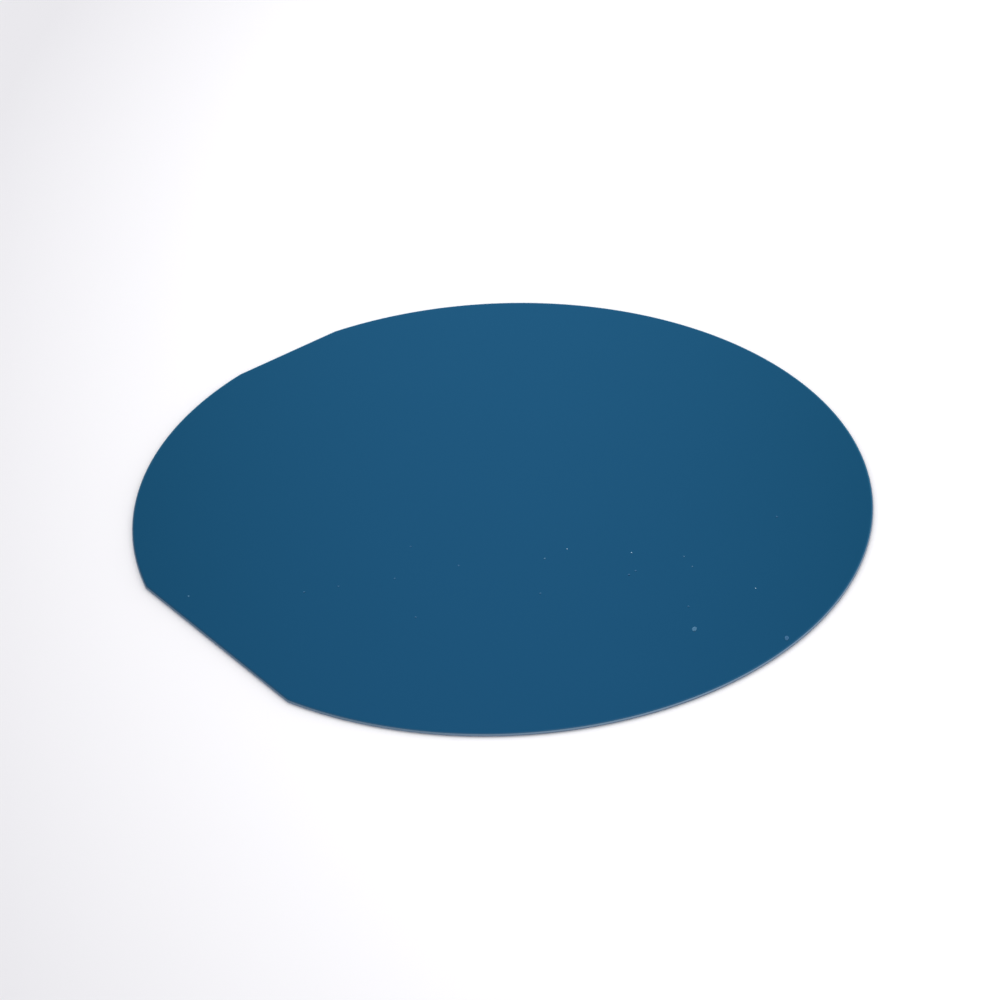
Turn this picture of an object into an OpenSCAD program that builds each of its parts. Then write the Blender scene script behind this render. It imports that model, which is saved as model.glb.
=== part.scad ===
// Round silicon wafer with two flats, ground from one slice of a crystal.
//
// The slice lies on its back face, with the origin at the centre of its round
// outline on that face. +Z comes out of the polished front face, the primary
// flat faces -Y and the secondary flat faces -X. Sizes are in millimetres.

/* [Slice] */
// Diameter of the round edge, across the nose of the rim
diameter = 100; // [75:1:150]
// Thickness from the back face to the front face
thickness = 0.525; // [0.35:0.005:0.8]

/* [Flats] */
// Length of the primary flat, which marks the crystal's direction
primary_flat_length = 31.5; // [20:0.5:45]
// Length of the secondary flat, which marks the kind of silicon
secondary_flat_length = 17; // [10:0.5:30]
// Clockwise angle from the primary flat to the secondary one, seen from the front
secondary_flat_angle = 90; // [45, 90, 135, 180]

/* [Rim] */
// Width of the slanted facet that is ground along the edge of each face
facet_width = 0.2; // [0.1:0.01:0.3]
// Slope of the facets, measured from the face
facet_slope = 22; // [11:1:30]

/* [Hidden] */
$fn = 360;
NOSE_STEPS = 48;

radius = diameter / 2;
// How far the ground plates reach from the centre, to pass the round edge
plate_reach = 0.6 * diameter;

// The facets rise towards mid-thickness, and the nose's arc is tangent to both
facet_rise = facet_width * tan(facet_slope);
nose_radius = (thickness / 2 - facet_rise) / cos(facet_slope);

// A flat is a chord of the round outline, this far from the centre
function flat_distance(length) = sqrt(radius ^ 2 - (length / 2) ^ 2);

// Section through the slice, from x = inner out to the crown of its rim
module rim_section(inner, crown) {
    nose_x = crown - nose_radius;
    facet_end = nose_x + nose_radius * sin(facet_slope);
    face_end = facet_end - facet_width;
    polygon([
        [inner, 0],
        [face_end, 0],
        [facet_end, facet_rise],
        [facet_end, thickness - facet_rise],
        [face_end, thickness],
        [inner, thickness],
    ]);
    translate([nose_x, thickness / 2])
        circle(r = nose_radius, $fn = NOSE_STEPS);
}

// The slice while it is still round, with its rim ground all the way round
module round_slice() {
    rotate_extrude()
        rim_section(0, radius);
}

// A plate that ends in a flat with the same rim, facing the given direction
module plate_with_flat(facing, length) {
    rotate([90, 0, facing])
        linear_extrude(height = 2 * plate_reach, center = true)
            rim_section(-plate_reach, flat_distance(length));
}

// The finished slice is what the round and both flats leave in common
module wafer() {
    color("#1F567B")
        intersection() {
            round_slice();
            plate_with_flat(-90, primary_flat_length);
            plate_with_flat(-90 - secondary_flat_angle, secondary_flat_length);
        }
}

wafer();
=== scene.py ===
# %% [markdown]
# # A silicon wafer
#
# A silicon wafer is a thin round slice of one large crystal. Makers of chips build
# their circuits on its polished front. This slice is 100 mm wide and half a millimetre
# thick. It has two straight flats on its edge, a ground and rounded rim, a dark blue
# film on its front and a dull grey back.
#
# The sizes come from a construction model, which is loaded first and never changed.
# This lesson adds what that model leaves out: a finer mesh of the same slice, the
# finishes, a little dust, a table, light and a camera.

# %% Load the construction model
import math
import random

import bmesh
import bpy
from mathutils import Matrix, Vector, noise


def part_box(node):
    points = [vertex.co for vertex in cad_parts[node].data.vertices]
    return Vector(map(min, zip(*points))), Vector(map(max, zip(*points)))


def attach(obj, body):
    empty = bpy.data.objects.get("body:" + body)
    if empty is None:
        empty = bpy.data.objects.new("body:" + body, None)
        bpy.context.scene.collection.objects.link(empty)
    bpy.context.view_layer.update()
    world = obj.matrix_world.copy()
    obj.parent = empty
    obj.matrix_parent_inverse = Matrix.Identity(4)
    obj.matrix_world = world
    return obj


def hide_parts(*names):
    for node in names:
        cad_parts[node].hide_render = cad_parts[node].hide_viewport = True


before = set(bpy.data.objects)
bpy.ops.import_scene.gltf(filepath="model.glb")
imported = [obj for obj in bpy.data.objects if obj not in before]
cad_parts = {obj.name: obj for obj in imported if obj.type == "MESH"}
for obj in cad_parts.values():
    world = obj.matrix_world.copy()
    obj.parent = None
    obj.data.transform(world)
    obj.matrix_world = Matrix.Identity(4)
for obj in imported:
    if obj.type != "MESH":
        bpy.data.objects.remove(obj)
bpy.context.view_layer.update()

MM = 0.001
print("nodes in the frame:", sorted(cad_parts))

# %% [markdown]
# ## What the frame measures
#
# The slice lies on its back, with its centre at the origin. The round edge reaches its
# full radius along +Y. The primary flat faces -Y and the secondary flat faces -X, so
# the lowest corner of the node's box gives both of their distances from the centre.

# %% Measures of the slice
low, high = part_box("wafer")
RADIUS = high.y
THICKNESS = high.z
PRIMARY_DISTANCE = -low.y
SECONDARY_DISTANCE = -low.x
print(f"radius {RADIUS / MM:.3f} mm, thickness {THICKNESS / MM:.3f} mm")
print(f"primary flat {PRIMARY_DISTANCE / MM:.3f} mm from the centre")
print(f"secondary flat {SECONDARY_DISTANCE / MM:.3f} mm from the centre")

# %% [markdown]
# ## The camera
#
# The camera stands about 0.4 m away and looks down on the table at 35 degrees. A long
# lens keeps the round outline close to a true ellipse. A Blender camera looks along
# its own -Z, so its three axes are worked out first: `back` points from the aim to the
# lens, `right` is level, and `up` follows from the two. A small roll tilts the picture
# as a hand-held camera does.

# %% Place the camera
ELEVATION = math.radians(35.42)
AZIMUTH = math.radians(52.28)
ROLL = math.radians(-2.59)
DISTANCE = 421.15 * MM
AIM = Vector((0.05 * MM, -0.354 * MM, THICKNESS / 2))
LENS_MM = 112

back = Vector((
    math.sin(AZIMUTH) * math.cos(ELEVATION),
    -math.cos(AZIMUTH) * math.cos(ELEVATION),
    math.sin(ELEVATION),
))
right = Vector((math.cos(AZIMUTH), math.sin(AZIMUTH), 0))
away = Vector((-math.sin(AZIMUTH), math.cos(AZIMUTH), 0))
up = back.cross(right)
turn = Matrix((right, up, back)).transposed() @ Matrix.Rotation(ROLL, 3, "Z")

camera = bpy.data.objects.new("camera", bpy.data.cameras.new("camera"))
camera.data.lens = LENS_MM
camera.data.clip_start = 10 * MM
camera.data.clip_end = 20
camera.matrix_world = Matrix.Translation(AIM + back * DISTANCE) @ turn.to_4x4()
bpy.context.scene.collection.objects.link(camera)
bpy.context.scene.camera = camera
print("camera at", [round(value, 3) for value in camera.matrix_world.translation])

# %% [markdown]
# ## The outline
#
# Seen from above, the slice is a circle with two chords cut off. Each end of a chord
# is a very blunt corner, which the edge grinder rounds a little. So the outline is a
# loop of four kinds of stretch: a small corner arc, a straight flat, a second corner
# arc, and a long arc of the circle up to the next flat.
#
# An array of points typed by hand would do, but it would be long and hard to check.
# Here each arc is a centre, a radius and two angles. A corner arc touches both the
# circle and the flat, so its centre lies at `RADIUS - CORNER_RADIUS` from the middle
# and at `distance - CORNER_RADIUS` towards the flat. The ratio of the two is the
# cosine of the angle between the flat's direction and the corner.
#
# Every point keeps the direction that the edge faces there. The rim needs it later.

# %% Outline of the slice
CORNER_RADIUS = 1.0 * MM
STEP = 0.45 * MM
CORNER_STEPS = 6
FLATS = [(math.radians(-90), PRIMARY_DISTANCE), (math.radians(180), SECONDARY_DISTANCE)]


def towards(angle):
    """Unit vector in the plane of the slice."""
    return Vector((math.cos(angle), math.sin(angle)))


def arc(centre, radius, start, end, least_steps):
    """Points along an arc, without its last, each with the direction it faces."""
    steps = max(least_steps, round(radius * (end - start) / STEP))
    angles = [start + (end - start) * i / steps for i in range(steps)]
    return [(centre + radius * towards(a), towards(a)) for a in angles]


def straight(start, end, facing):
    """Points along a flat, without its last, each with the direction it faces."""
    steps = round((end - start).length / STEP)
    return [(start.lerp(end, i / steps), facing) for i in range(steps)]


def corner_angle(distance):
    """Angle at the middle between a flat's direction and the centre of its corner arc."""
    return math.acos((distance - CORNER_RADIUS) / (RADIUS - CORNER_RADIUS))


def outline():
    """The whole outline, anticlockwise from the start of the primary flat."""
    points = []
    for (angle, distance), (next_angle, next_distance) in zip(FLATS, FLATS[1:] + FLATS[:1]):
        facing = towards(angle)
        reach = corner_angle(distance)
        first = (RADIUS - CORNER_RADIUS) * towards(angle - reach)
        second = (RADIUS - CORNER_RADIUS) * towards(angle + reach)
        round_end = next_angle - corner_angle(next_distance)
        if round_end < angle:
            round_end += math.tau
        points += arc(first, CORNER_RADIUS, angle - reach, angle, CORNER_STEPS)
        points += straight(first + CORNER_RADIUS * facing, second + CORNER_RADIUS * facing, facing)
        points += arc(second, CORNER_RADIUS, angle, angle + reach, CORNER_STEPS)
        points += arc(Vector((0, 0)), RADIUS, angle + reach, round_end, CORNER_STEPS)
    return points


edge = outline()
print(len(edge), "points round the outline")

# %% [markdown]
# ## The section of the rim
#
# A sawn edge would chip, so it is ground with a grooved diamond wheel. The wheel
# leaves a narrow sloping facet along each face and a round nose between the two
# facets. Polishing the front then softens the line where the face meets its facet.
#
# The section is a list of (inset, height) pairs from the front face to the back face.
# The inset is measured inwards from the outline. The nose and the soft line are arcs,
# so they come from sines and cosines. The lower half mirrors the upper half.
#
# The first pair lies a little inside the face. It keeps smooth shading from bending
# the reflections on the flat face.

# %% Section of the rim
FACET_WIDTH = 0.2 * MM
FACET_SLOPE = math.radians(22)
SOFT_LINE_REACH = 0.03 * MM
SUPPORT_WIDTH = 0.05 * MM
SOFT_STEPS = 4
NOSE_STEPS = 16

facet_rise = FACET_WIDTH * math.tan(FACET_SLOPE)
nose_radius = (THICKNESS / 2 - facet_rise) / math.cos(FACET_SLOPE)
face_inset = nose_radius * (1 - math.sin(FACET_SLOPE)) + FACET_WIDTH


def soft_line():
    """The arc that joins the front face to its facet and is tangent to both."""
    start = face_inset + SOFT_LINE_REACH
    radius = SOFT_LINE_REACH / math.tan(FACET_SLOPE / 2)
    tilts = [FACET_SLOPE * i / SOFT_STEPS for i in range(SOFT_STEPS + 1)]
    return [(start - radius * math.sin(t), THICKNESS - radius * (1 - math.cos(t))) for t in tilts]


def nose():
    """The round nose, from the front facet to the back facet."""
    first = math.pi / 2 - FACET_SLOPE
    angles = [first * (1 - 2 * i / NOSE_STEPS) for i in range(NOSE_STEPS + 1)]
    return [
        (nose_radius * (1 - math.cos(a)), THICKNESS / 2 + nose_radius * math.sin(a))
        for a in angles
    ]


def rim_section():
    """Pairs of inset and height from the front face, round the rim, to the back face."""
    support = (face_inset + SOFT_LINE_REACH + SUPPORT_WIDTH, THICKNESS)
    upper = [support] + soft_line()
    lower = [(inset, THICKNESS - height) for inset, height in reversed(upper)]
    return upper + nose() + lower


section = rim_section()
print(f"nose radius {nose_radius / MM:.3f} mm, {len(section)} points across the rim")

# %% [markdown]
# ## The slice
#
# The slice is swept from the two lists above. Each pair of the section becomes a ring
# of points: every outline point, moved inwards by the inset. Quads join each ring to
# the next. The two flat faces go on inwards as scaled copies of the last ring, down to
# a small polygon in the middle.
#
# A lathe or Screw modifier could make the round rim, but not the flats. A Boolean could
# cut the flats, but it would leave long thin triangles. A sweep gives clean rows of
# quads that follow the rim all the way round.
#
# Each band between two rings also gets the number of its finish here, because the
# rings count out where the front ends and where the facet, the nose and the back begin.

# %% Rings of the slice
FRONT, FACET, NOSE, BACK = range(4)
FACE_SHARES = [0.06, 0.25, 0.5, 0.75, 0.95]


def ring(inset, height, share=1.0):
    """One ring of points at this inset, scaled towards the middle by share."""
    places = [(point - inset * facing) * share for point, facing in edge]
    return [Vector((place.x, place.y, height)) for place in places]


def slice_rings():
    """Every ring, from the middle of the front to the middle of the back."""
    inset = section[0][0]
    front = [ring(inset, THICKNESS, share) for share in FACE_SHARES]
    rim = [ring(*pair) for pair in section]
    rear = [ring(inset, 0, share) for share in reversed(FACE_SHARES)]
    return front + rim + rear


def finish_of_band(band):
    """Which finish lies between ring number band and the next one."""
    front_end = len(FACE_SHARES) + 1 + SOFT_STEPS
    back_start = len(FACE_SHARES) + len(section) - 2 - SOFT_STEPS
    if band < front_end:
        return FRONT
    if band >= back_start:
        return BACK
    return FACET if band == front_end else NOSE


rings = slice_rings()
print(len(rings), "rings from the middle of the front to the middle of the back")

# %% [markdown]
# ## The sweep
#
# The rings become faces, with smooth shading on the bands and one polygon at each hub.
# The sweep also writes a UV map in millimetres: along the rim and across it. The
# grinding marks need this, because they run round the slice.
#
# The new slice then rides on the model's one body and stands in for the construction
# model's node, which is hidden.

# %% Mesh of the slice
def running_total(points):
    """Length along a row of points, up to each point, in millimetres."""
    total = [0.0]
    for a, b in zip(points, points[1:]):
        total.append(total[-1] + (b - a).length / MM)
    return total


def build_slice():
    """Sweeps the rim's section round the outline and closes both faces."""
    count = len(edge)
    along = running_total(rings[len(FACE_SHARES)] + rings[len(FACE_SHARES)][:1])
    across = running_total([one_ring[0] for one_ring in rings])
    bm = bmesh.new()
    uv = bm.loops.layers.uv.new("rim_mm")
    verts = [[bm.verts.new(place) for place in one_ring] for one_ring in rings]
    for band in range(len(rings) - 1):
        for i in range(count):
            corners = [(band, i), (band + 1, i), (band + 1, i + 1), (band, i + 1)]
            face = bm.faces.new([verts[row][column % count] for row, column in corners])
            face.material_index = finish_of_band(band)
            face.smooth = True
            for loop, (row, column) in zip(face.loops, corners):
                loop[uv].uv = (along[column], across[row])
    for hub, finish in ((verts[0], FRONT), (verts[-1][::-1], BACK)):
        face = bm.faces.new(hub)
        face.material_index = finish
        for loop in face.loops:
            loop[uv].uv = loop.vert.co.xy / MM
    mesh = bpy.data.meshes.new("silicon_slice")
    bm.to_mesh(mesh)
    bm.free()
    return mesh


silicon_slice = bpy.data.objects.new("silicon_slice", build_slice())
bpy.context.scene.collection.objects.link(silicon_slice)
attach(silicon_slice, "root")
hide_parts("wafer")
print(len(silicon_slice.data.polygons), "faces on the slice")

# %% [markdown]
# ## Three helpers for materials
#
# Colours are written as sRGB hex values, as a picture editor shows them. Blender
# works in linear light, so one function turns them over. A second function adds a
# node, sets its inputs and links other nodes into it. A third makes a material with an
# empty node tree. The finishes below need nothing more.

# %% Colour and node helpers
WHITE = "#FFFFFF"


def linear(hex_colour):
    """Linear colour with full alpha for an sRGB hex value."""
    shares = [int(hex_colour[i:i + 2], 16) / 255 for i in (1, 3, 5)]
    return [s / 12.92 if s <= 0.04045 else ((s + 0.055) / 1.055) ** 2.4 for s in shares] + [1.0]


def add_node(tree, kind, inputs=None, **settings):
    """Adds a node. An input is a plain value, or another node's output to link to."""
    node = tree.nodes.new("ShaderNode" + kind)
    for name, value in settings.items():
        setattr(node, name, value)
    for name, value in (inputs or {}).items():
        if isinstance(value, bpy.types.NodeSocket):
            tree.links.new(value, node.inputs[name])
        else:
            node.inputs[name].default_value = value
    return node


def new_material(name):
    """A material with an empty node tree."""
    material = bpy.data.materials.new(name)
    material.use_nodes = True
    material.node_tree.nodes.clear()
    return material


# %% [markdown]
# ## The front: silicon nitride on polished silicon
#
# The front is polished until it is a mirror. A furnace then grows a clear film of
# silicon nitride on it, about 90 nm thick. Light that is reflected by the top of the
# film meets light that is reflected by the silicon below. At this thickness red nearly
# cancels, green falls to about a third, and a deep blue is left. It is the colour of
# the reflection and not of a paint, so the face is dark where it mirrors something
# dark.
#
# A coloured metal behaves in just this way, so the finish is a metallic shader with
# the film's blue as its base colour and its IOR left alone. A clear coat over a
# blue paint would be wrong, because the paint would also scatter light.
#
# The blue also darkens slowly across the face. This is a painted reflection: it stands in for
# surroundings that the mirror would show dimmer there. It is drawn as a very wide ellipse whose
# centre lies outside the slice: the square of the distance from it mixes the film's blue with a
# dimmer copy. A faint cloudy noise makes this painted reflection less regular, and it also
# varies the roughness, which stands for the haze that polishing leaves.
#
# Any metal turns white where the light only grazes it. The film holds its blue longer,
# so the shader's tint, which sets the colour near grazing, is a pale blue.
#
# The furnace coats the ground facet next to the front as well. It is the same film on
# a rougher surface, which shows it at many angles at once, so its blue is paler. One
# function makes both finishes, each with the same painted reflection, and takes the
# blues and the roughness.

# %% Film on the front
# Each pair holds the film's blue and a dimmer copy of it for the painted reflection.
FILM_BLUE_AND_DIMMED = ("#1E547B", "#164A6C")
FACET_BLUE_AND_DIMMED = ("#2F5D7E", "#255271")
FILM_GRAZING_BLUE = "#C8EEFF"
# The ellipse of the painted reflection: the blue dims with distance from its centre.
PAINTED_REFLECTION_ANGLE = math.radians(52)
PAINTED_REFLECTION_CENTRE = (-105 * MM, 80 * MM, 0)
PAINTED_REFLECTION_REACH = (105 * MM, 578 * MM, 1)
PAINTED_REFLECTION_SPAN = (0.01, 0.3)
CLOUD_SIZE = 12 * MM
CLOUD_SHARE = 0.02
POLISHED_ROUGHNESS = (0.03, 0.06)
FACET_ROUGHNESS = (0.18, 0.26)


def nitride_film(name, blue_and_dimmed, roughness):
    """Deep blue reflection, with a painted reflection that dims the blue slowly across the face.
    """
    material = new_material(name)
    tree = material.node_tree
    place = add_node(tree, "TexCoord")
    ellipse = add_node(tree, "Mapping", {
        "Vector": place.outputs["Object"],
        "Location": PAINTED_REFLECTION_CENTRE,
        "Rotation": (0, 0, PAINTED_REFLECTION_ANGLE),
        "Scale": PAINTED_REFLECTION_REACH,
    }, vector_type="TEXTURE")
    square = add_node(tree, "VectorMath", {
        0: ellipse.outputs["Vector"],
        1: ellipse.outputs["Vector"],
    }, operation="DOT_PRODUCT")
    cloud = add_node(tree, "TexNoise", {
        "Vector": place.outputs["Object"],
        "Scale": 1 / CLOUD_SIZE,
        "Detail": 3,
    })
    painted_reflection = add_node(tree, "Math", {
        0: cloud.outputs["Fac"],
        1: CLOUD_SHARE,
        2: square.outputs["Value"],
    }, operation="MULTIPLY_ADD")
    # Painted reflection: the share of the dimmer blue grows with the square of the distance from
    # the ellipse's centre.
    painted_dimming = add_node(tree, "MapRange", {
        "Value": painted_reflection.outputs["Value"],
        "From Min": PAINTED_REFLECTION_SPAN[0] + CLOUD_SHARE / 2,
        "From Max": PAINTED_REFLECTION_SPAN[1] + CLOUD_SHARE / 2,
    })
    blue = add_node(tree, "Mix", {
        "Factor": painted_dimming.outputs["Result"],
        "A": linear(blue_and_dimmed[0]),
        "B": linear(blue_and_dimmed[1]),
    }, data_type="RGBA")
    haze = add_node(tree, "MapRange", {
        "Value": cloud.outputs["Fac"],
        "To Min": roughness[0],
        "To Max": roughness[1],
    })
    shader = add_node(tree, "BsdfPrincipled", {
        "Base Color": blue.outputs["Result"],
        "Metallic": 1.0,
        "Roughness": haze.outputs["Result"],
        "Specular Tint": linear(FILM_GRAZING_BLUE),
    })
    add_node(tree, "OutputMaterial", {"Surface": shader.outputs["BSDF"]})
    return material


print("film's blue in linear light:", [round(value, 3) for value in linear(FILM_BLUE_AND_DIMMED[0])])

# %% [markdown]
# ## The rim: ground silicon under the film
#
# The rim is ground with a fine diamond wheel and then etched, which leaves it satin.
# The film covers its round nose too. But the nose turns through every slope, and a
# film changes its colour with the angle, so its blues wash out to a blue-grey.
#
# The wheel's marks run round the slice. On the real rim they are about 0.01 mm apart,
# which no picture of the whole slice can show, so they are drawn a few times coarser.
#
# Silicon isn't a metal, but it reflects over a third of the light as a grey metal
# does, so it gets a metallic shader too. The marks are a noise that is stretched a
# hundred times along the rim. It varies the grey, the roughness and a low bump.

# %% Ground rim
FILMED_GREY = ("#63778C", "#75899E")
MARK_SPACING_MM = 0.04
MARK_LENGTH_MM = 4
GROUND_ROUGHNESS = (0.28, 0.45)
MARK_HEIGHT = 0.001 * MM


def ground_silicon():
    """Satin blue-grey with fine marks that run round the slice."""
    material = new_material("ground_silicon")
    tree = material.node_tree
    rim_place = add_node(tree, "UVMap", uv_map="rim_mm")
    stretched = add_node(tree, "Mapping", {
        "Vector": rim_place.outputs["UV"],
        "Scale": (1 / MARK_LENGTH_MM, 1 / MARK_SPACING_MM, 1),
    })
    marks = add_node(tree, "TexNoise", {
        "Vector": stretched.outputs["Vector"],
        "Scale": 1.0,
        "Detail": 4,
    })
    grey = add_node(tree, "Mix", {
        "Factor": marks.outputs["Fac"],
        "A": linear(FILMED_GREY[0]),
        "B": linear(FILMED_GREY[1]),
    }, data_type="RGBA")
    satin = add_node(tree, "MapRange", {
        "Value": marks.outputs["Fac"],
        "To Min": GROUND_ROUGHNESS[0],
        "To Max": GROUND_ROUGHNESS[1],
    })
    relief = add_node(tree, "Bump", {
        "Height": marks.outputs["Fac"],
        "Distance": MARK_HEIGHT,
    })
    shader = add_node(tree, "BsdfPrincipled", {
        "Base Color": grey.outputs["Result"],
        "Metallic": 1.0,
        "Roughness": satin.outputs["Result"],
        "Normal": relief.outputs["Normal"],
    })
    add_node(tree, "OutputMaterial", {"Surface": shader.outputs["BSDF"]})
    return material


# %% [markdown]
# ## The back: etched silicon
#
# The back is lapped flat with grit and then etched in acid or lye. The etch rounds
# the scratches into tiny shallow pits, 0.01 to 0.03 mm wide, so the back is a soft
# matt grey with a faint glitter. The film that the furnace grew here is stripped off
# again. The pits are drawn three times as wide, to show in a close view. A cell pattern
# gives them their rounded shape, and a wide noise gives the light and dark clouds that
# an etch bath leaves.

# %% Etched back
ETCHED_GREY = ("#83858D", "#989AA2")
PIT_WIDTH = 0.08 * MM
PIT_DEPTH = 0.006 * MM
BATH_CLOUD_SIZE = 15 * MM
ETCHED_ROUGHNESS = (0.42, 0.55)


def etched_silicon():
    """Matt grey with rounded pits and wide, faint clouds."""
    material = new_material("etched_silicon")
    tree = material.node_tree
    place = add_node(tree, "TexCoord")
    pits = add_node(tree, "TexVoronoi", {
        "Vector": place.outputs["Object"],
        "Scale": 1 / PIT_WIDTH,
        "Smoothness": 1.0,
    }, feature="SMOOTH_F1")
    clouds = add_node(tree, "TexNoise", {
        "Vector": place.outputs["Object"],
        "Scale": 1 / BATH_CLOUD_SIZE,
        "Detail": 5,
    })
    grey = add_node(tree, "Mix", {
        "Factor": clouds.outputs["Fac"],
        "A": linear(ETCHED_GREY[0]),
        "B": linear(ETCHED_GREY[1]),
    }, data_type="RGBA")
    matt = add_node(tree, "MapRange", {
        "Value": pits.outputs["Distance"],
        "To Min": ETCHED_ROUGHNESS[0],
        "To Max": ETCHED_ROUGHNESS[1],
    })
    relief = add_node(tree, "Bump", {
        "Height": pits.outputs["Distance"],
        "Distance": PIT_DEPTH,
    })
    shader = add_node(tree, "BsdfPrincipled", {
        "Base Color": grey.outputs["Result"],
        "Metallic": 1.0,
        "Roughness": matt.outputs["Result"],
        "Normal": relief.outputs["Normal"],
    })
    add_node(tree, "OutputMaterial", {"Surface": shader.outputs["BSDF"]})
    return material


for finish in (
    nitride_film("film_on_polished_face", FILM_BLUE_AND_DIMMED, POLISHED_ROUGHNESS),
    nitride_film("film_on_ground_facet", FACET_BLUE_AND_DIMMED, FACET_ROUGHNESS),
    ground_silicon(),
    etched_silicon(),
):
    silicon_slice.data.materials.append(finish)
print("finishes:", [finish.name for finish in silicon_slice.data.materials])

# %% [markdown]
# ## Dust on the front
#
# Outside a clean room, dust settles on a wafer within minutes, and a mirror shows
# every grain. Three kinds lie here. A few are thick pale grains, a seventh of a
# millimetre wide. Most are thin motes, a quarter of a millimetre wide, and the blue
# shows through them. Two are flakes, which are as thin but nearly a millimetre long.
#
# Dust falls anywhere, so the places are a matter of choice. The places are listed in
# millimetres from the centre of the slice.

# %% Where the dust lies
GRAINS_MM = [(37.9, 11.5), (21.3, 4.7), (15, -1.1)]
THIN_MOTES_MM = [(26.5, 9.3), (14.6, -4.6), (28.9, 8.6), (-10.2, -44.4)]
FAINT_MOTES_MM = [
    (20, -9.9), (4.8, -22), (8.2, -14), (24.7, 1.3), (24.6, 2.5), (28.2, 24.4), (1.2, -28.5),
    (0.6, -16.1), (34.9, 2.5), (13.2, -25.1), (-0.8, -32.6),
]
FLAKES_MM = [(38.9, -0.1)]
FAINT_FLAKES_MM = [(48.1, 7.3)]
GRAIN_WIDTH = 0.14 * MM
MOTE_WIDTH = 0.25 * MM
FLAKE_WIDTH = 0.6 * MM
GRAIN_FLATNESS = 0.7
MOTE_FLATNESS = 0.2
FLAKE_FLATNESS = 0.06
NO_STRETCH = 1
FLAKE_STRETCH = 1.5
PALE, THIN, FAINT = range(3)
KINDS_OF_DUST = [
    (GRAINS_MM, GRAIN_WIDTH, GRAIN_FLATNESS, NO_STRETCH, PALE),
    (THIN_MOTES_MM, MOTE_WIDTH, MOTE_FLATNESS, NO_STRETCH, THIN),
    (FAINT_MOTES_MM, MOTE_WIDTH, MOTE_FLATNESS, NO_STRETCH, FAINT),
    (FLAKES_MM, FLAKE_WIDTH, FLAKE_FLATNESS, FLAKE_STRETCH, THIN),
    (FAINT_FLAKES_MM, FLAKE_WIDTH, FLAKE_FLATNESS, FLAKE_STRETCH, FAINT),
]
print(sum(len(kind[0]) for kind in KINDS_OF_DUST), "specks of dust")

# %% [markdown]
# ## The shape of a speck
#
# A noise texture could paint white dots, but a painted dot has no height and no
# reflection below it. So each speck is a small ball of its own, pushed in and out by
# a noise and pressed flat, and it rests on the face. The random numbers start from a
# fixed seed, so the dust is the same each time.

# %% Specks of dust
LUMPS_PER_WIDTH = 1.6
LUMP_SHARE = 0.5
NOISE_REACH = 50
WIDTH_SPREAD = (0.9, 1.15)
DUST_SEED = 7


def add_speck(bm, place_mm, width, flatness, stretch, finish):
    """One lumpy speck that rests on the front face, stretched away from the camera."""
    made = bmesh.ops.create_icosphere(bm, subdivisions=2, radius=width / 2)
    seed_offset = Vector((random.uniform(-NOISE_REACH, NOISE_REACH) for _ in range(3)))
    spin = random.uniform(0, math.tau)
    for vert in made["verts"]:
        bump = noise.noise(vert.co / width * LUMPS_PER_WIDTH + seed_offset)
        vert.co *= 1 + LUMP_SHARE * bump
        vert.co.z *= flatness
    bmesh.ops.rotate(bm, verts=made["verts"], matrix=Matrix.Rotation(spin, 3, "Z"))
    for vert in made["verts"]:
        vert.co += away * vert.co.dot(away) * (stretch - 1)
    foot = min(vert.co.z for vert in made["verts"])
    place = Vector((place_mm[0] * MM, place_mm[1] * MM, THICKNESS - foot))
    bmesh.ops.translate(bm, verts=made["verts"], vec=place)
    for face in {face for vert in made["verts"] for face in vert.link_faces}:
        face.material_index = finish
        face.smooth = True


def build_dust():
    """All the specks in one mesh."""
    random.seed(DUST_SEED)
    bm = bmesh.new()
    for places, width, flatness, stretch, finish in KINDS_OF_DUST:
        for place in places:
            own_width = width * random.uniform(*WIDTH_SPREAD)
            add_speck(bm, place, own_width, flatness, stretch, finish)
    mesh = bpy.data.meshes.new("dust_motes")
    bm.to_mesh(mesh)
    bm.free()
    return mesh


dust_motes = bpy.data.objects.new("dust_motes", build_dust())
print(len(dust_motes.data.polygons), "faces on the dust")

# %% [markdown]
# ## The finish of the dust
#
# House dust is mostly fluff: lint and flakes of skin, which scatter light and hardly
# shine. So the finish is matt, with a low specular level, and it mottles between a
# dark and a pale colour. Clear thin motes would cost many bounces of light, so a thin
# speck is a matt colour between the pale dust and the film below it.

# %% Dust finishes
MOTTLES_PER_WIDTH = 3
DUST_ROUGHNESS = 0.95
DUST_SHINE = 0.2


def dust_finish(name, dark, pale, speck_width):
    """Dull dust that mottles between two colours."""
    material = new_material(name)
    tree = material.node_tree
    place = add_node(tree, "TexCoord")
    mottle = add_node(tree, "TexNoise", {
        "Vector": place.outputs["Object"],
        "Scale": MOTTLES_PER_WIDTH / speck_width,
        "Detail": 2,
    })
    colour = add_node(tree, "Mix", {
        "Factor": mottle.outputs["Fac"],
        "A": linear(dark),
        "B": linear(pale),
    }, data_type="RGBA")
    shader = add_node(tree, "BsdfPrincipled", {
        "Base Color": colour.outputs["Result"],
        "Roughness": DUST_ROUGHNESS,
        "Specular IOR Level": DUST_SHINE,
    })
    add_node(tree, "OutputMaterial", {"Surface": shader.outputs["BSDF"]})
    return material


for finish in (
    # The pale grains' light blue is partly painted reflection, standing in for blue light that the
    # film throws up onto them, and partly the blue that shows through clear fibre.
    dust_finish("pale_dust", "#9FCDEA", "#D2EBFA", GRAIN_WIDTH),
    dust_finish("thin_dust", "#3A6A8E", "#5585A5", FLAKE_WIDTH),
    dust_finish("faint_dust", "#2F5F84", "#42719A", FLAKE_WIDTH),
):
    dust_motes.data.materials.append(finish)
bpy.context.scene.collection.objects.link(dust_motes)
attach(dust_motes, "root")
print("dust finishes:", [finish.name for finish in dust_motes.data.materials])

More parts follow.
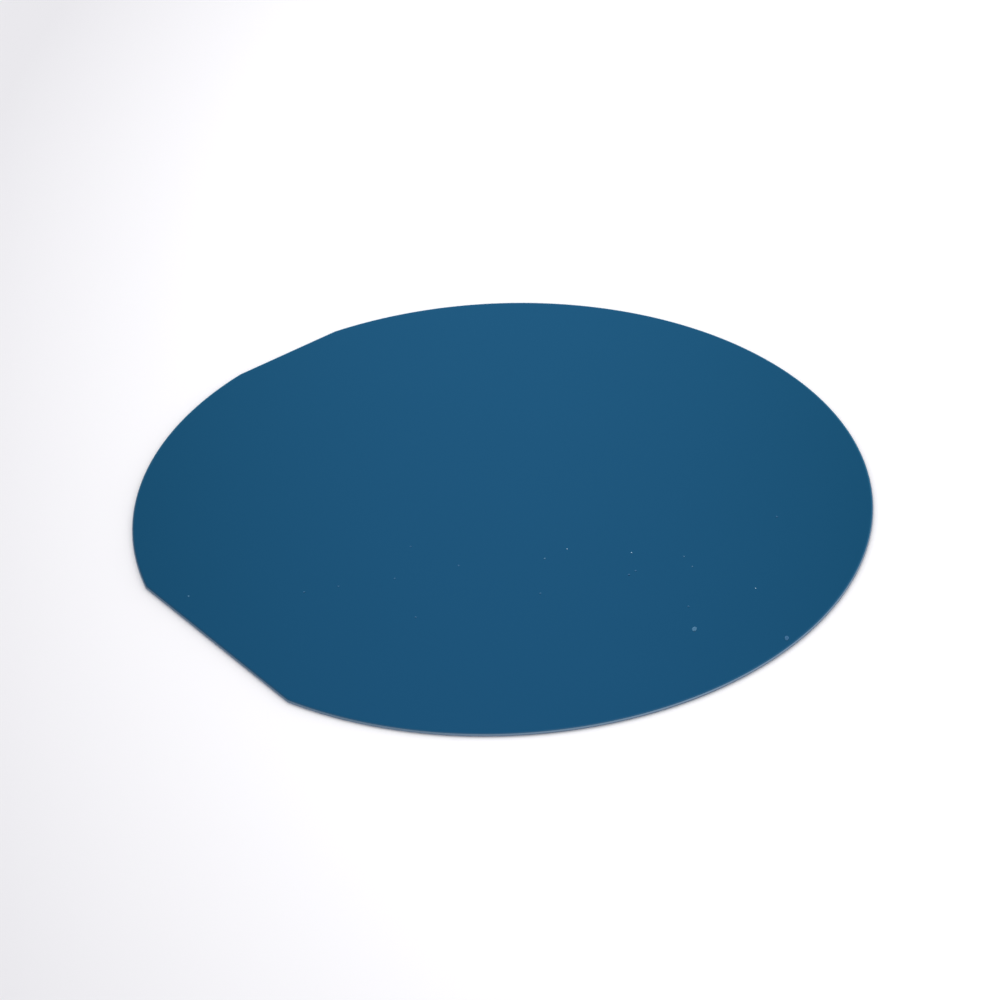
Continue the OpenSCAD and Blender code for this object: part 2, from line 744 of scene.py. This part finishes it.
# %% [markdown]
# ## The table
#
# The slice lies on a plain white table in bright, even light. A white board reflects
# a little over eight tenths of the light and would come out as a very light grey. For
# the camera and for reflections the board also glows a little, so that it reads as
# white.
#
# The Light Path node tells which rays look at the board. The glow answers rays from
# the camera, from a mirror and through clear glass. Light that only bounces off the
# board gets no glow, so the board doesn't light the slice more than a white one would.

# %% Which rays see the glow
def glow_factor(tree):
    """1 for rays from the camera, a mirror or clear glass, and 0 for light that bounces."""
    path = add_node(tree, "LightPath")
    mirror = add_node(tree, "Math", {
        0: path.outputs["Is Camera Ray"],
        1: path.outputs["Is Glossy Ray"],
    }, operation="MAXIMUM")
    seen = add_node(tree, "Math", {
        0: mirror.outputs["Value"],
        1: path.outputs["Is Transmission Ray"],
    }, operation="MAXIMUM")
    return seen.outputs["Value"]


print("the glow answers the camera, mirrors and clear glass")

# %% [markdown]
# ## The board's shade
#
# Close to the slice the board gets less light, and a thin dark line follows the edge.
# An even glow would wash it out. The Ambient Occlusion node measures how open each
# spot is, within a few millimetres, and the glow is multiplied by it. So the glow fades
# near the slice just as the light on the board does.
#
# The left of the table is a touch greyer. Two soft ellipses draw that. One is a pool
# round the slice, where the glow stays full. The other is a wide shade that lies to
# the left. The glow is taken away where a spot is in the shade and out of the pool.

# %% White board
BOARD_WHITE = "#EAE9ED"
BOARD_ROUGHNESS = 0.8
GLOW = 0.277
POOL_CENTRE = right * 60 * MM + away * 59 * MM
POOL_REACH = (144 * MM, 263 * MM, 1)
POOL_EDGE = 0.393
SHADE_WIDTH = 7 * MM
SHADE_SAMPLES = 16
SHADE_CENTRE = right * -130 * MM + away * 20 * MM
SHADE_REACH = (320 * MM, 320 * MM, 1)
SHADE_EDGE = (0.1, 0.48)


def soft_ellipse(tree, place, centre, reach):
    """1 at the centre of an ellipse on the table, falling evenly to 0 at its reach."""
    ellipse = add_node(tree, "Mapping", {
        "Vector": place.outputs["Object"],
        "Location": centre,
        "Rotation": (0, 0, AZIMUTH),
        "Scale": reach,
    }, vector_type="TEXTURE")
    cone = add_node(tree, "TexGradient", {
        "Vector": ellipse.outputs["Vector"],
    }, gradient_type="SPHERICAL")
    return cone.outputs["Fac"]


def white_board():
    """Matt white board with a glow that only the camera and reflections see."""
    material = new_material("white_board")
    tree = material.node_tree
    place = add_node(tree, "TexCoord")
    out_of_pool = add_node(tree, "MapRange", {
        "Value": soft_ellipse(tree, place, POOL_CENTRE, POOL_REACH),
        "From Max": POOL_EDGE,
        "To Min": 1.0,
        "To Max": 0.0,
    })
    near_shade = add_node(tree, "MapRange", {
        "Value": soft_ellipse(tree, place, SHADE_CENTRE, SHADE_REACH),
        "From Min": SHADE_EDGE[0],
        "From Max": SHADE_EDGE[1],
    }, interpolation_type="SMOOTHSTEP")
    shade = add_node(tree, "Math", {
        0: out_of_pool.outputs["Result"],
        1: near_shade.outputs["Result"],
    }, operation="MULTIPLY")
    glow = add_node(tree, "MapRange", {
        "Value": shade.outputs["Value"],
        "To Min": GLOW,
        "To Max": 0.0,
    })
    openness = add_node(tree, "AmbientOcclusion", {
        "Distance": SHADE_WIDTH,
    }, samples=SHADE_SAMPLES)
    shaded_glow = add_node(tree, "Math", {
        0: glow.outputs["Result"],
        1: openness.outputs["AO"],
    }, operation="MULTIPLY")
    strength = add_node(tree, "Math", {
        0: shaded_glow.outputs["Value"],
        1: glow_factor(tree),
    }, operation="MULTIPLY")
    shader = add_node(tree, "BsdfPrincipled", {
        "Base Color": linear(BOARD_WHITE),
        "Roughness": BOARD_ROUGHNESS,
        "Specular IOR Level": 0.0,
        "Emission Color": linear(WHITE),
        "Emission Strength": strength.outputs["Value"],
    })
    add_node(tree, "OutputMaterial", {"Surface": shader.outputs["BSDF"]})
    return material


board = white_board()
print(f"the board glows by {GLOW} and loses that within {SHADE_WIDTH / MM:.0f} mm of the slice")

# %% [markdown]
# ## The table top
#
# The board is one wide square grid. It lies a hundredth of a millimetre below the back
# of the slice, so that the two surfaces don't flicker through one another. It is part
# of the stage and not of the slice.

# %% Table
TABLE_SIZE = 12
TABLE_ROWS = 24
TABLE_DROP = 0.01 * MM


def build_table():
    """One wide square, just under the slice."""
    bm = bmesh.new()
    bmesh.ops.create_grid(bm, x_segments=TABLE_ROWS, y_segments=TABLE_ROWS, size=TABLE_SIZE / 2)
    bmesh.ops.translate(bm, verts=bm.verts, vec=(0, 0, -TABLE_DROP))
    mesh = bpy.data.meshes.new("table")
    bm.to_mesh(mesh)
    bm.free()
    return mesh


table = bpy.data.objects.new("table", build_table())
table.data.materials.append(board)
bpy.context.scene.collection.objects.link(table)
print(f"table {TABLE_SIZE} m wide")

# %% [markdown]
# ## The light
#
# A mirror shows whatever stands around it, so photographers put a white tent round a
# wafer. Here the world is the tent. The camera sees it at full white. Mirrors see it
# at full white straight ahead, a little brighter to the right and a little darker to
# the left, because the main lamp stands outside on the right. The polished front
# hardly shows this, but the rim does: it is palest where it faces right.
#
# For matt things the tent's walls are brighter than its roof, because a tent is lit
# from lamps beside it. Light that comes in low is what the thin edge of the slice
# keeps from the table, so bright walls give the dark line along the edge its width. A
# level surface faces the roof, so it takes two thirds of its light from the roof's
# strength and one third from the walls'. Together that makes nine tenths of white.

# %% Tent
WALL_LIGHT = 2.4
ROOF_LIGHT = 0.15
TENT_LIGHT = WALL_LIGHT / 3 + ROOF_LIGHT * 2 / 3
SIDE_LIGHT = 0.4


def light_tent():
    """White for the camera, brighter on the right for mirrors and low down for matt things."""
    world = bpy.data.worlds.new("light_tent")
    world.use_nodes = True
    tree = world.node_tree
    tree.nodes.clear()
    direction = add_node(tree, "TexCoord")
    height = add_node(tree, "SeparateXYZ", {"Vector": direction.outputs["Generated"]})
    strength = add_node(tree, "MapRange", {
        "Value": height.outputs["Z"],
        "To Min": WALL_LIGHT,
        "To Max": ROOF_LIGHT,
    })
    lighting = add_node(tree, "Background", {
        "Color": linear(WHITE),
        "Strength": strength.outputs["Result"],
    })
    sideways = add_node(tree, "VectorMath", {
        0: direction.outputs["Generated"],
        1: right,
    }, operation="DOT_PRODUCT")
    path = add_node(tree, "LightPath")
    lean = add_node(tree, "Math", {
        0: sideways.outputs["Value"],
        1: path.outputs["Is Glossy Ray"],
    }, operation="MULTIPLY")
    mirrored = add_node(tree, "Math", {
        0: lean.outputs["Value"],
        1: SIDE_LIGHT,
        2: 1.0,
    }, operation="MULTIPLY_ADD")
    seen = add_node(tree, "Background", {
        "Color": linear(WHITE),
        "Strength": mirrored.outputs["Value"],
    })
    both = add_node(tree, "MixShader", {
        0: glow_factor(tree),
        1: lighting.outputs["Background"],
        2: seen.outputs["Background"],
    })
    add_node(tree, "OutputWorld", {"Surface": both.outputs["Shader"]})
    return world


bpy.context.scene.world = light_tent()
print(f"the tent gives {TENT_LIGHT:.1f} of full white")

# %% [markdown]
# ## The lamp
#
# One wide, weak lamp adds the last tenth of the light from the left and rear. It is
# hidden from mirrors, which would show it as a hot spot.
#
# The Standard view shows colours about as they are written, so it fits a scene whose
# light adds up to plain white.

# %% Lamp
LAMP_LIGHT = 1 - TENT_LIGHT
LAMP_ELEVATION = math.radians(60)
LAMP_AZIMUTH = AZIMUTH - math.radians(140)
LAMP_WIDTH = math.radians(35)


def add_lamp():
    """A wide sun lamp that gives LAMP_LIGHT of full white at the table."""
    lamp = bpy.data.objects.new("lamp", bpy.data.lights.new("lamp", "SUN"))
    from_slice = Vector((
        math.sin(LAMP_AZIMUTH) * math.cos(LAMP_ELEVATION),
        -math.cos(LAMP_AZIMUTH) * math.cos(LAMP_ELEVATION),
        math.sin(LAMP_ELEVATION),
    ))
    lamp.data.angle = LAMP_WIDTH
    lamp.data.energy = LAMP_LIGHT * math.pi / math.sin(LAMP_ELEVATION)
    lamp.matrix_world = from_slice.to_track_quat("Z", "Y").to_matrix().to_4x4()
    lamp.visible_glossy = False
    bpy.context.scene.collection.objects.link(lamp)
    return lamp


lamp = add_lamp()
bpy.context.scene.view_settings.view_transform = "Standard"
print(f"the lamp gives {LAMP_LIGHT:.1f} of full white, at {lamp.data.energy:.2f} W/m2")
